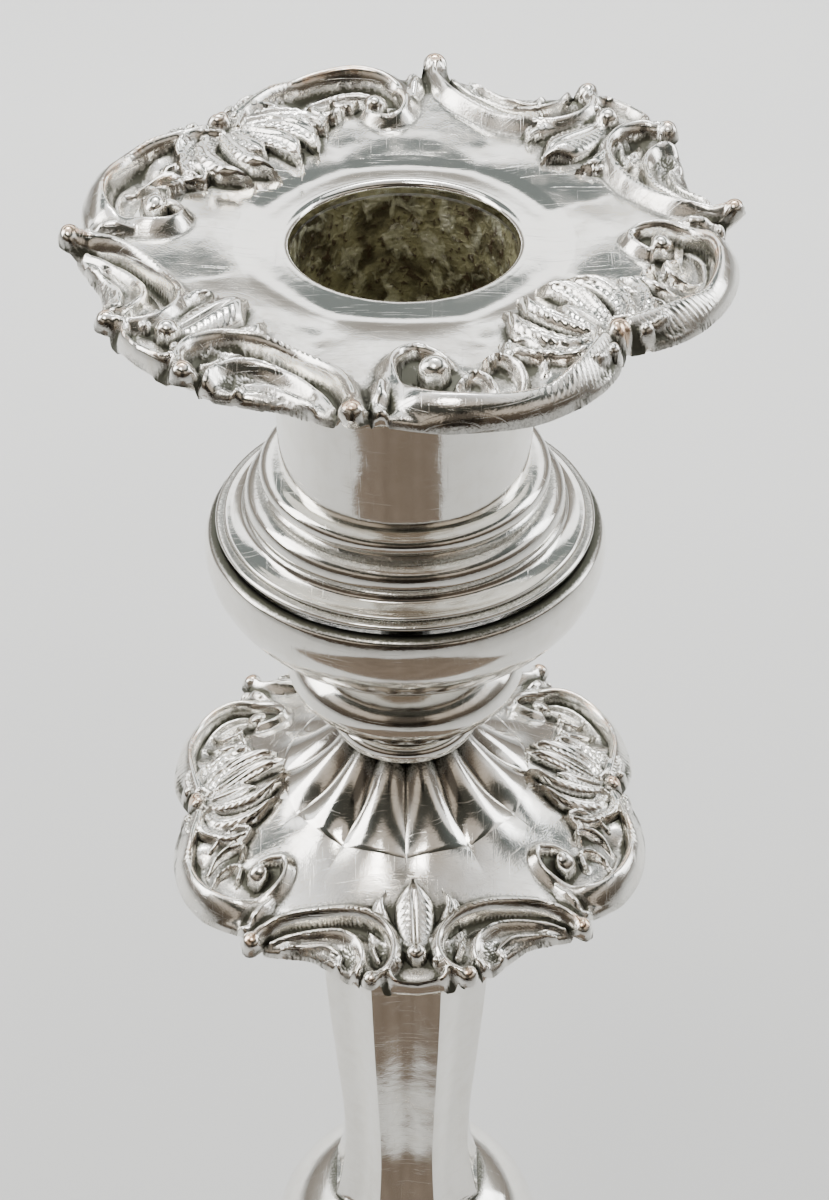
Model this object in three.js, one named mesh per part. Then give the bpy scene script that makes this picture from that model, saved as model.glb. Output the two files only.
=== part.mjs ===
// A silver-plated candlestick with scroll-and-leaf borders, as it comes apart on a bench.
// A steel tie rod clamps a stack of hollow pieces between the loaded base and the candle
// socket, and the nozzle, which holds the candle, lifts out of the socket.
// Millimetres, +Z up. The origin is the middle of the baize that it stands on.
// Each border repeats a quarter of its pattern four times, mirrored, about its own turned axes.
import * as THREE from "three";

const { cos, sin, PI, abs, max } = Math;
const middle = (low, high) => (low + high) / 2;

// ---- Driving dimensions ----

const seat = 0.3; // gap between pieces that rest on each other
const sheet = 1; // wall of the spun shells

const rod = { radius: 2.5, hole: 3.2, headroom: 0.9 };
const nut = { acrossFlats: 8, height: 3.6 };
const washer = { radius: 6, height: 1 };

const candle = { boreRadius: 11.25 };
const sleeve = { wall: 0.8, floor: 0.8, clearance: 0.3, overRod: 0.6 };
const pan = { thickness: 1.1, radius: 27.5, lipRoll: 1.2, dip: 0.3, rise: 0.7, petalDepth: 0.2 };
const socket = { wall: 0.9, height: 23.7, flare: 0.75, floor: 1 };

const bulb = { upperHeight: 8.1, stepOut: 6.9, lowerHeight: 14.3, lip: 2.6, bulge: 1.3, footRadius: 9 };
const upperKnop = { radius: 13.3, halfHeight: 5.8, neckRadius: 7.4, neckLength: 1.9 };
const knopRing = { radius: 8.2, height: 2.5 };
const shoulder = { height: 12.6, neckRadius: 6.9, radius: 24.5, flutes: 12, fluteDepth: 0.7 };
const underplate = { inset: 1.3, drop: 3.4, flatRadius: 13.5 };
const stem = { length: 63.2, topRadius: 13.2, waistRadius: 8.7, footRadius: 10.3, wall: 1.6, panels: 8 };
const lowerKnop = { upperHeight: 12.7, lowerHeight: 13.9, radius: 18, topRadius: 10, footRadius: 8.6 };
const collar = { height: 3.8, radius: 10 };
const base = { height: 59.1, neckRadius: 8.4, rimHeight: 11.5, radius: 50, flutes: 12, fluteDepth: 1.4 };
const foot = { clearance: 0.6, wall: 1.3, inset: 2.6 };
const plate = { thickness: 1.2 };
const baize = { thickness: 1.6 };
const weight = { height: 17, inset: 4, bore: 4, pocketRadius: 10 };

// Each border is a ring on a plate. overhang is how far its furthest ball reaches past the plate,
// cover is how far its leaves reach in over it, relief is how high the scrolls stand, drop is how
// far the edge hangs, and turn, in degrees, is where the middle of a leafy corner points.
const nozzleBorder = { on: pan, overhang: 7.3, cover: 7.1, relief: 1.9, drop: 1.6, turn: -46 };
const shoulderBorder = { on: shoulder, overhang: 5.1, cover: 7.7, relief: 1.3, drop: 3, turn: 3.5 };
const baseBorder = { on: base, overhang: 10.5, cover: 12.5, relief: 3, drop: 3.4, turn: -46 };
for (const edging of [nozzleBorder, shoulderBorder, baseBorder]) {
  edging.tip = edging.on.radius + edging.overhang;
  edging.inner = edging.on.radius - edging.cover;
}

// ---- Levels, from the table up ----

const at = {};
at.plate = baize.thickness + seat;
at.weight = at.plate + plate.thickness + seat;
at.collar = base.height + seat;
at.lowerKnop = at.collar + collar.height + seat;
at.lowerSeam = at.lowerKnop + lowerKnop.lowerHeight;
at.lowerKnopTop = at.lowerSeam + seat + lowerKnop.upperHeight;
at.stem = at.lowerKnopTop + seat;
at.underplate = at.stem + stem.length + seat;
at.shoulderRim = at.underplate + underplate.drop + sheet + seat;
at.shoulderTop = at.shoulderRim + shoulder.height;
at.upperKnop = at.shoulderTop + seat;
const knopNeckShare = upperKnop.neckRadius / upperKnop.radius;
const knopHalf = upperKnop.halfHeight * Math.sqrt(1 - knopNeckShare ** 2); // as cut off at its necks
const knopTop = at.upperKnop + knopRing.height + upperKnop.neckLength + 2 * knopHalf;
at.bulb = knopTop + seat;
at.bulbSeam = at.bulb + bulb.lowerHeight;
at.bulbTop = at.bulbSeam + seat + bulb.upperHeight;
at.socket = at.bulbTop + seat;
at.socketTop = at.socket + socket.height;
at.lip = at.socketTop + seat + pan.thickness + pan.dip;

// The rod's nut stands on a washer in the socket, and the candle's cup ends just above it.
at.topWasher = at.socket + socket.floor + seat;
at.topNut = at.topWasher + washer.height + seat;
at.rodTop = at.topNut + nut.height + rod.headroom / 3;
at.cup = at.rodTop + sleeve.overRod;
at.bottomNut = at.weight + rod.headroom;
at.bottomWasher = at.bottomNut + nut.height + seat;

const sleeveRadius = candle.boreRadius + sleeve.wall;
const socketBore = sleeveRadius + sleeve.clearance;
const socketFoot = socketBore + socket.wall;
const bulbTopRadius = socketFoot + bulb.stepOut;
const bulbRadius = bulbTopRadius + bulb.bulge;
const rolledLip = candle.boreRadius + pan.lipRoll;
const panStart = rolledLip + 1.5; // where the dish's eight soft petals begin

// ---- Geometry helpers ----

const roundSteps = 26; // facets round a plain turned piece
const panSteps = 40;
const borderSteps = 72;

/** A turned solid about Z from an outline of [radius, height], which closes on itself or the axis. */
function turned(outline, steps = roundSteps) {
  const points = outline.map(([radius, height]) => new THREE.Vector2(radius, height));
  if (THREE.ShapeUtils.area(points) < 0) points.reverse();
  if (points[0].x > 0) points.push(points[0].clone());
  return new THREE.LatheGeometry(points, steps).rotateX(PI / 2);
}

/** A turned solid whose every point is then moved: shape(angle, radius, height) gives [radius, height]. */
function shaped(points, steps, shape) {
  const geometry = turned(points, steps);
  const position = geometry.attributes.position;
  for (let i = 0; i < position.count; i++) {
    const x = position.getX(i);
    const y = position.getY(i);
    const angle = Math.atan2(y, x);
    const [radius, height] = shape(angle, Math.hypot(x, y), position.getZ(i));
    position.setXYZ(i, radius * cos(angle), radius * sin(angle), height);
  }
  return geometry;
}

/** A flat plate cut to an outline of radius outline(angle), from a bottom level up. */
function cutPlate(outline, bottom, height) {
  const rim = [];
  for (let i = 0; i < borderSteps; i++) {
    const angle = (2 * PI * i) / borderSteps;
    rim.push(new THREE.Vector2(outline(angle) * cos(angle), outline(angle) * sin(angle)));
  }
  const geometry = new THREE.ExtrudeGeometry(new THREE.Shape(rim), { depth: height, bevelEnabled: false });
  return geometry.translate(0, 0, bottom);
}

/** Points of an ellipse about [0, level] from one angle to another, in degrees above its widest. */
function ellipse(level, radius, height, fromDegrees, toDegrees, count) {
  const points = [];
  for (let i = 0; i < count; i++) {
    const angle = (PI / 180) * (fromDegrees + ((toDegrees - fromDegrees) * i) / (count - 1));
    points.push([radius * cos(angle), level + height * sin(angle)]);
  }
  return points;
}

/** Half of a hollow ball, open at its widest, with a flat end at radius endRadius, reach away. */
function cupShell(level, radius, endRadius, reach, steps = 6) {
  const halfHeight = abs(reach) / Math.sqrt(1 - (endRadius / radius) ** 2);
  const degrees = (share) => (Math.asin(share) * 180) / PI;
  const outerEnd = degrees(abs(reach) / halfHeight);
  const innerEnd = degrees((abs(reach) - sheet) / (halfHeight - sheet));
  const outer = ellipse(0, radius, halfHeight, 0, outerEnd, steps);
  const inner = ellipse(0, radius - sheet, halfHeight - sheet, innerEnd, 0, steps - 2);
  const end = [
    [rod.hole, abs(reach)],
    [rod.hole, abs(reach) - sheet],
  ];
  const side = Math.sign(reach);
  return [...outer, ...end, ...inner].map(([r, height]) => [r, level + side * height]);
}

/** A smooth line through [radius, height] points, sampled evenly. */
function smooth(points, count) {
  const curve = new THREE.SplineCurve(points.map(([radius, height]) => new THREE.Vector2(radius, height)));
  return curve.getPoints(count).map((point) => [point.x, point.y]);
}

// ---- The border's outline ----

// One quarter of the outline, as a share of the tip radius, from the middle of a leafy corner
// at 0 degrees, round a full lobe, a ball tip and a hollow wing, to the middle of a small
// corner at 90. The other three quarters are its mirror images.
const outlineQuarter = [
  [0, 0.86],
  [5, 0.9],
  [15, 0.96],
  [30, 0.985],
  [40, 0.965],
  [45, 0.945],
  [50, 1],
  [55, 0.95],
  [65, 0.91],
  [75, 0.965],
  [80, 1],
  [85, 0.985],
  [90, 0.99],
];

/** The outline's share of the tip radius at an angle, in radians. */
function outlineShare(angle) {
  const half = ((((angle * 180) / PI) % 180) + 180) % 180;
  const local = half > 90 ? 180 - half : half;
  const next = max(1, outlineQuarter.findIndex(([degrees]) => degrees >= local));
  const [fromAngle, from] = outlineQuarter[next - 1];
  const [toAngle, to] = outlineQuarter[next];
  const share = (local - fromAngle) / (toAngle - fromAngle);
  return from + (to - from) * share * share * (3 - 2 * share);
}

/** A border ring whose bed(radius) is the surface that it lies on, out to bedEnd. */
function border({ on, tip, inner, relief, drop }, bed) {
  const bedEnd = on.radius;
  const over = (radius, height) => [radius, bed(radius) + seat + height];
  const width = tip - inner;
  const edge = bed(bedEnd) + seat;
  const section = [
    over(inner, 0),
    over(middle(inner, bedEnd), 0),
    over(bedEnd + seat, 0),
    [bedEnd + seat, edge - sheet],
    [tip - 0.1 * width, edge - drop],
    [tip, edge - 0.7 * drop],
    [tip - 0.03 * width, edge - 0.1 * drop],
    [tip - 0.14 * width, edge + 0.85 * relief],
    [tip - 0.4 * width, edge + 0.45 * relief],
    over(inner + 0.3 * width, relief),
    over(inner + 0.1 * width, 0.45 * relief),
  ];
  return shaped(section, borderSteps, (angle, radius, height) => {
    const reach = outlineShare(angle);
    const share = max(0, (radius - bedEnd - seat) / (tip - bedEnd - seat));
    return [radius - share * tip * (1 - reach), height];
  });
}

// ---- Pieces ----

/** The plain dish of the nozzle: it dips past the rolled lip of the candle hole, then rises. */
function panTop(radius) {
  const share = max(0, (radius - rolledLip) / (pan.radius - rolledLip));
  return at.lip - pan.dip * sin(PI * Math.min(1, 3 * share)) + pan.rise * share ** 1.6;
}

const panInnerEdge = at.lip - max(pan.lipRoll, pan.thickness) - 0.1;

function nozzlePan() {
  const out = (share) => rolledLip + share * (pan.radius - rolledLip);
  const { inner } = nozzleBorder;
  const over = [pan.radius, middle(inner, pan.radius), inner, out(0.27), rolledLip];
  const upper = over.map((radius) => [radius, panTop(radius)]);
  const quarter = ellipse(at.lip - pan.lipRoll, pan.lipRoll, pan.lipRoll, 112, 180, 3);
  const roll = quarter.map(([radius, height]) => [radius + rolledLip, height]);
  const under = [sleeveRadius + 2.2, out(0.4), pan.radius];
  const lower = under.map((radius) => [radius, panTop(radius) - pan.thickness]);
  const hole = [
    [candle.boreRadius, panInnerEdge],
    [sleeveRadius + 0.5, panInnerEdge],
  ];
  return shaped([...lower, ...upper, ...roll, ...hole], panSteps, (angle, radius, height) => {
    const share = max(0, (radius - panStart) / (pan.radius - panStart));
    return [radius, height + pan.petalDepth * share * (1 - share) * 4 * cos(8 * angle)];
  });
}

function nozzleSleeve() {
  const top = panInnerEdge - seat;
  return turned([
    [candle.boreRadius, at.cup],
    [sleeveRadius, at.cup],
    [sleeveRadius, top],
    [candle.boreRadius, top],
  ]);
}

function nozzleFloor() {
  const radius = candle.boreRadius - seat / 2;
  return turned([
    [0, at.cup],
    [radius, at.cup],
    [radius, at.cup + sleeve.floor],
    [0, at.cup + sleeve.floor],
  ]);
}

function socketTube() {
  const outer = [0, 0.12, 0.5, 0.85, 1].map((share) => [
    socketFoot + socket.flare * share ** 2,
    at.socket + socket.height * share,
  ]);
  const top = [socketBore + socket.flare, at.socketTop];
  return turned([[socketBore, at.socket], ...outer, top]);
}

function socketFloor() {
  return turned([
    [rod.hole, at.socket],
    [socketBore - seat, at.socket],
    [socketBore - seat, at.socket + socket.floor],
    [rod.hole, at.socket + socket.floor],
  ]);
}

function bulbUpperShell() {
  const top = at.bulbTop;
  const seam = at.bulbSeam + seat;
  const inset = (amount, height) => [bulbTopRadius - amount, height];
  return turned([
    [rod.hole, top],
    inset(5.7, top),
    inset(4.9, top - 1.2),
    inset(4.8, top - 2.4),
    inset(3.5, top - 3.3),
    inset(3.1, top - 4.6),
    inset(2.7, top - 5.4),
    inset(1.4, top - 6.4),
    inset(0.1, top - 6.9),
    inset(0, seam + 0.6),
    inset(0.3, seam),
    inset(0.3 + sheet, seam),
    inset(1.8 + sheet, top - 6.9),
    inset(4.5 + sheet, top - 4.6),
    inset(5.9 + sheet, top - sheet),
    [rod.hole, top - sheet],
  ]);
}

function bulbLowerShell() {
  const equator = at.bulbSeam - bulb.lip;
  const cup = cupShell(equator, bulbRadius, bulb.footRadius, at.bulb - equator);
  const rim = [
    [bulbRadius - 0.5 - sheet, at.bulbSeam],
    [bulbRadius - 1.1, at.bulbSeam],
    [bulbRadius - 0.35, at.bulbSeam - 0.3 * bulb.lip],
  ];
  return turned([...rim, ...cup]);
}

function upperKnopPiece() {
  const { radius, halfHeight, neckRadius } = upperKnop;
  const end = (Math.acos(knopNeckShare) * 180) / PI;
  return turned([
    [rod.hole, at.upperKnop],
    [neckRadius, at.upperKnop],
    [knopRing.radius, at.upperKnop + 0.3 * knopRing.height],
    [knopRing.radius, at.upperKnop + 0.7 * knopRing.height],
    [neckRadius, at.upperKnop + knopRing.height],
    ...ellipse(knopTop - knopHalf, radius, halfHeight, -end, end, 8),
    [rod.hole, knopTop],
  ]);
}

/** The height of the shoulder's flared top at a radius: steep at the neck, then a shallow slope. */
function shoulderTopAt(radius) {
  const left = (shoulder.radius - radius) / (shoulder.radius - shoulder.neckRadius);
  const share = 0.88 * max(0, left) ** 1.6 + 0.12 * max(0, left) ** 7;
  return at.shoulderRim + sheet + (shoulder.height - sheet) * share;
}

/** The height of the base's flared top at a radius. */
function baseTopAt(radius) {
  const share = Math.min(1, (radius - base.neckRadius) / (base.radius - base.neckRadius));
  return base.rimHeight + (base.height - base.rimHeight) * (1 - share) ** 3.1;
}

/** A flare with lobes round its neck: a sheet under topAt out to its rim, with a flat neck on top. */
function flare(part, topAt, top, edging) {
  const toBorder = (share) => part.neckRadius + share * (edging.inner - part.neckRadius);
  const radii = [...[0.08, 0.27, 0.55, 1].map(toBorder), middle(edging.inner, part.radius)];
  const outer = [...radii, part.radius].map((radius) => [radius, topAt(radius)]);
  const inner = radii.map((radius) => [radius - 0.6 * sheet, topAt(radius) - sheet]).reverse();
  const neck = [
    [rod.hole, top - sheet],
    [rod.hole, top],
    [part.neckRadius, top],
  ];
  const rim = [part.radius, topAt(part.radius) - sheet];
  return shaped([...neck, ...outer, rim, ...inner], 3 * part.flutes, (angle, radius, height) => {
    const share = (radius - part.neckRadius) / (part.radius - part.neckRadius);
    const fade = Math.min(1, 4 * max(0, share)) * max(0, 1 - 1.6 * share) ** 1.5;
    const crease = 0.5 + 0.5 * cos(part.flutes * angle);
    return [radius, height - 2 * part.fluteDepth * crease * fade];
  });
}

const shoulderFlare = () => flare(shoulder, shoulderTopAt, at.shoulderTop, shoulderBorder);
const baseDome = () => flare(base, baseTopAt, base.height, baseBorder);

function shoulderUnderplate() {
  const top = [
    [rod.hole, at.underplate + sheet],
    [underplate.flatRadius, at.underplate + sheet],
    [shoulder.radius - underplate.inset, at.underplate + sheet + underplate.drop - seat],
  ];
  const bottom = top.map(([radius, height]) => [radius, height - sheet]).reverse();
  return turned([...top, ...bottom].reverse());
}

/** How far a flat panel lies inside the circle through the ridges at an angle. */
function panelShare(angle) {
  const half = PI / stem.panels;
  const local = ((((angle - half) % (2 * half)) + 2 * half) % (2 * half)) - half;
  return cos(half) / cos(local);
}

function stemColumn() {
  const outer = smooth(
    [
      [stem.footRadius, at.stem],
      [stem.footRadius - 1.2, at.stem + 5.5],
      [stem.waistRadius, at.stem + 13],
      [stem.waistRadius + 1.5, at.stem + 33.5],
      [stem.topRadius - 1.9, at.stem + stem.length - 11],
      [stem.topRadius, at.stem + stem.length],
    ],
    12,
  );
  const inner = [
    [stem.topRadius - 2 * stem.wall, at.stem + stem.length],
    [stem.waistRadius - 1.5 * stem.wall, at.stem + 13],
    [stem.footRadius - 2 * stem.wall, at.stem],
  ];
  return shaped([...outer, ...inner], 2 * stem.panels, (angle, radius, height) => [
    radius * panelShare(angle),
    height,
  ]);
}

const { radius: knopRadius, topRadius, footRadius, upperHeight, lowerHeight } = lowerKnop;
const lowerKnopUpperShell = () =>
  turned(cupShell(at.lowerSeam + seat, knopRadius, topRadius, upperHeight));
const lowerKnopLowerShell = () => turned(cupShell(at.lowerSeam, knopRadius, footRadius, -lowerHeight));

function baseCollar() {
  const bead = ellipse(at.collar + collar.height / 2, 1.6, collar.height / 2, -90, 90, 6);
  const outer = bead.map(([radius, height]) => [collar.radius - 1.6 + radius, height]);
  return turned([[rod.hole, at.collar], ...outer, [rod.hole, at.collar + collar.height]]);
}

const nozzleBorderRing = () => border(nozzleBorder, panTop);
const shoulderBorderRing = () => border(shoulderBorder, shoulderTopAt);
const baseBorderRing = () => border(baseBorder, baseTopAt);

/** The base's outline, moved in by an inset. */
const baseOutline = (inset) => (angle) => baseBorder.tip * outlineShare(angle) - inset;

function baseFootRing() {
  const top = base.rimHeight - baseBorder.drop - 2 * seat;
  const outer = baseBorder.tip - foot.inset;
  const section = [
    [outer - foot.wall, foot.clearance],
    [outer, foot.clearance],
    [outer, top],
    [outer - foot.wall, top],
  ];
  return shaped(section, borderSteps, (angle, radius, height) => [
    radius - baseBorder.tip * (1 - outlineShare(angle)),
    height,
  ]);
}

function baseWeight() {
  const top = at.weight + weight.height;
  const pocket = at.weight + nut.height + washer.height + 2 * seat + rod.headroom;
  const underDome = 2 * base.fluteDepth + 2 * sheet;
  const rim = base.radius - weight.inset;
  const slope = [1, 0.82, 0.68, 0.57, 0.47].map((share) => [
    share * rim,
    Math.min(top, baseTopAt(share * rim) - underDome),
  ]);
  return turned([
    [weight.pocketRadius, at.weight],
    [rim, at.weight],
    ...slope,
    [weight.bore, top],
    [weight.bore, pocket],
    [weight.pocketRadius, pocket],
  ]);
}

const inFoot = foot.inset + foot.wall + seat;
const basePlate = () => cutPlate(baseOutline(inFoot), at.plate, plate.thickness);
const baizePad = () => cutPlate(baseOutline(inFoot), 0, baize.thickness);

// ---- The tie rod and its fasteners ----

function tieRod() {
  const bottom = at.bottomNut - rod.headroom / 2;
  return turned(
    [
      [0, bottom],
      [rod.radius, bottom],
      [rod.radius, at.rodTop],
      [0, at.rodTop],
    ],
    16,
  );
}

function washerAt(level) {
  const hole = rod.radius + seat;
  return turned(
    [
      [hole, level],
      [washer.radius, level],
      [washer.radius, level + washer.height],
      [hole, level + washer.height],
    ],
    20,
  );
}

function nutAt(level) {
  const corner = nut.acrossFlats / 2 / cos(PI / 6);
  const corners = [0, 1, 2, 3, 4, 5].map((i) => (i * PI) / 3);
  const hexagon = new THREE.Shape(corners.map((a) => new THREE.Vector2(corner * cos(a), corner * sin(a))));
  hexagon.holes.push(new THREE.Path().absarc(0, 0, rod.radius + seat, 0, 2 * PI, true));
  const geometry = new THREE.ExtrudeGeometry(hexagon, {
    depth: nut.height,
    bevelEnabled: false,
    curveSegments: 8,
  });
  return geometry.translate(0, 0, level);
}

// ---- Materials and assembly ----

const material = (color, roughness, metalness) =>
  new THREE.MeshStandardMaterial({ color, roughness, metalness });
const silver = material(0xd9d8d2, 0.12, 1);
const tarnished = material(0x5b5540, 0.6, 0.8);
const steel = material(0x8a8c8e, 0.4, 1);
const plaster = material(0xb9b2a0, 0.9, 0);
const felt = material(0x1f4a2e, 0.95, 0);

const pieces = [
  ["nozzle_pan", nozzlePan, silver, nozzleBorder.turn],
  ["nozzle_border", nozzleBorderRing, silver, nozzleBorder.turn],
  ["nozzle_sleeve", nozzleSleeve, tarnished],
  ["nozzle_floor", nozzleFloor, tarnished],
  ["socket_tube", socketTube, silver],
  ["socket_floor", socketFloor, silver],
  ["bulb_upper_shell", bulbUpperShell, silver],
  ["bulb_lower_shell", bulbLowerShell, silver],
  ["upper_knop", upperKnopPiece, silver],
  ["shoulder_flare", shoulderFlare, silver],
  ["shoulder_border", shoulderBorderRing, silver, shoulderBorder.turn],
  ["shoulder_underplate", shoulderUnderplate, silver],
  ["stem_column", stemColumn, silver],
  ["lower_knop_upper_shell", lowerKnopUpperShell, silver],
  ["lower_knop_lower_shell", lowerKnopLowerShell, silver],
  ["base_collar", baseCollar, silver],
  ["base_dome", baseDome, silver],
  ["base_border", baseBorderRing, silver, baseBorder.turn],
  ["base_foot_ring", baseFootRing, silver, baseBorder.turn],
  ["base_weight", baseWeight, plaster],
  ["base_plate", basePlate, steel, baseBorder.turn],
  ["baize_pad", baizePad, felt, baseBorder.turn],
  ["tie_rod", tieRod, steel],
  ["top_washer", () => washerAt(at.topWasher), steel],
  ["top_nut", () => nutAt(at.topNut), steel],
  ["bottom_washer", () => washerAt(at.bottomWasher), steel],
  ["bottom_nut", () => nutAt(at.bottomNut), steel],
];

const candlestick = new THREE.Group();
for (const [name, shape, finish, turn = 0] of pieces) {
  const mesh = new THREE.Mesh(shape(), finish);
  mesh.name = name;
  mesh.rotation.z = (turn * PI) / 180;
  candlestick.add(mesh);
}

export default candlestick;
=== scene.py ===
"""A silver-plated candlestick on a pale floor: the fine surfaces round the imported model.

Lengths here are millimetres in the model's frame, and turn into metres as each mesh is made.
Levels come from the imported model's boxes. Angles round the stem are degrees from +X.
"""
import math

import bmesh
import bpy
import numpy as np
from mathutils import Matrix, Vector


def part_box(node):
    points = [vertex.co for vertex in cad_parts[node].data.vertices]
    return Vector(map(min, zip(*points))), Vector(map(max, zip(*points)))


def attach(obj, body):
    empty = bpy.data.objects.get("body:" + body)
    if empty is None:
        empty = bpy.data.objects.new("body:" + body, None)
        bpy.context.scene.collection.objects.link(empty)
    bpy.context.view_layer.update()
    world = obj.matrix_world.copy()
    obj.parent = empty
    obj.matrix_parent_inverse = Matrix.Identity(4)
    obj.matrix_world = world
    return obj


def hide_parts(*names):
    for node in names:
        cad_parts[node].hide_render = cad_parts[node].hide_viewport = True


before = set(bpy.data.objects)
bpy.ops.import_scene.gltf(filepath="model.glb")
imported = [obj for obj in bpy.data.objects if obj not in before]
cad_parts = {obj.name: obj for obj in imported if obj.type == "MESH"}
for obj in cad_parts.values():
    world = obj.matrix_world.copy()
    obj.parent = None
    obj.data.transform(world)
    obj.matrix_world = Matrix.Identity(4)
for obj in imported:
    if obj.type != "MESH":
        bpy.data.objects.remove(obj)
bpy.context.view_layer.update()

MM = 0.001


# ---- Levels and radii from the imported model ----


def top(node):
    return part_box(node)[1].z / MM


def bottom(node):
    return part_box(node)[0].z / MM


def half_width(node):
    low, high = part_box(node)
    return max(high.x - low.x, high.y - low.y) / 2 / MM


SEAT = 0.3  # gap between pieces that rest on each other
PAN_THICKNESS = 1.1
PAN_DIP = 0.3
LIP = top("socket_tube") + SEAT + PAN_THICKNESS + PAN_DIP  # the rolled lip of the candle hole
BORE = 11.25
LIP_ROLL = 1.2
ROLLED_LIP = BORE + LIP_ROLL
PAN_RADIUS = half_width("nozzle_pan")
ROD_HOLE = 3.2


# ---- Lines, noise and meshes ----


def smooth_line(points, per_span=6):
    """A Catmull-Rom curve through the points."""
    p = np.array(points, float)
    p = np.vstack([2 * p[0] - p[1], p, 2 * p[-1] - p[-2]])
    t = np.linspace(0, 1, per_span, endpoint=False)[:, None]
    spans = []
    for a, b, c, d in zip(p, p[1:], p[2:], p[3:]):
        spans.append(
            0.5 * (2 * b + (c - a) * t + (2 * a - 5 * b + 4 * c - d) * t**2 + (3 * b - a - 3 * c + d) * t**3)
        )
    return np.vstack([*spans, p[-2:-1]])


def arc(centre, radii, start, end, count):
    """Points of an elliptical arc of [radius, height], between two angles in degrees."""
    angles = np.radians(np.linspace(start, end, count))
    return np.column_stack([centre[0] + radii[0] * np.cos(angles), centre[1] + radii[1] * np.sin(angles)])


def ripple(x, y, z, scale, seed):
    """Smooth noise from -1 to 1: a sum of sine waves in fixed random directions, about scale mm long."""
    waves = np.random.default_rng(seed)
    total = np.zeros(np.broadcast(x, y, z).shape)
    for _ in range(9):
        direction = waves.normal(size=3)
        direction *= 2 * math.pi / scale * waves.uniform(0.6, 1.5) / np.linalg.norm(direction)
        phase = waves.uniform(0, 2 * math.pi)
        total += np.sin(direction[0] * x + direction[1] * y + direction[2] * z + phase)
    return total / 4.5


def step(low, high, x):
    """0 below low, 1 above high, and smooth between."""
    t = np.clip((x - low) / (high - low), 0, 1)
    return t * t * (3 - 2 * t)


def mesh_piece(name, points, body, replaced, material, marks=None, sharp=32):
    """A piece from a grid of points, round the stem by along a closed line, with marks on its points."""
    around, along = points.shape[:2]
    index = np.arange(around * along).reshape(around, along)
    beyond = np.roll(index, -1, axis=1)
    faces = np.stack([index, np.roll(index, -1, axis=0), np.roll(beyond, -1, axis=0), beyond], axis=-1)
    mesh = bpy.data.meshes.new(name)
    mesh.from_pydata((points.reshape(-1, 3) * MM).tolist(), [], faces.reshape(-1, 4).tolist())
    for mark, values in (marks or {}).items():
        layer = mesh.attributes.new(mark, "FLOAT", "POINT")
        layer.data.foreach_set("value", np.ascontiguousarray(values, np.float32).ravel())
    work = bmesh.new()
    work.from_mesh(mesh)
    bmesh.ops.remove_doubles(work, verts=work.verts, dist=1e-6)
    bmesh.ops.recalc_face_normals(work, faces=work.faces)
    work.to_mesh(mesh)
    work.free()
    mesh.shade_smooth()
    mesh.set_sharp_from_angle(angle=math.radians(sharp))
    mesh.materials.append(material)
    piece = bpy.data.objects.new(name, mesh)
    bpy.context.scene.collection.objects.link(piece)
    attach(piece, body)
    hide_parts(*replaced)
    return piece


def turned(
    name, line, body, replaced, material, around=160, shape=None, recess=None, outside=None, dents=0.0
):
    """A piece turned from a closed line of [radius, height]; shape(angle, radius, height) may move it."""
    line = np.array(line, float)
    angle = np.linspace(0, 2 * math.pi, around, endpoint=False)[:, None]
    radius = np.broadcast_to(line[None, :, 0], (around, len(line)))
    height = np.broadcast_to(line[None, :, 1], (around, len(line)))
    if shape:
        radius, height = shape(angle, radius, height)
    if dents:
        radius = radius + dents * ripple(radius * np.cos(angle), radius * np.sin(angle), height, 9, len(name))
    points = np.stack([radius * np.cos(angle), radius * np.sin(angle), height + 0 * angle], axis=-1)
    marks = {}
    for mark, share in (("recess", recess), ("outside", outside)):
        if share is not None:
            marks[mark] = np.broadcast_to(share(line[:, 0], line[:, 1])[None, :], (around, len(line)))
    return mesh_piece(name, points, body, replaced, material, marks=marks)


# ---- Materials ----


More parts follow.
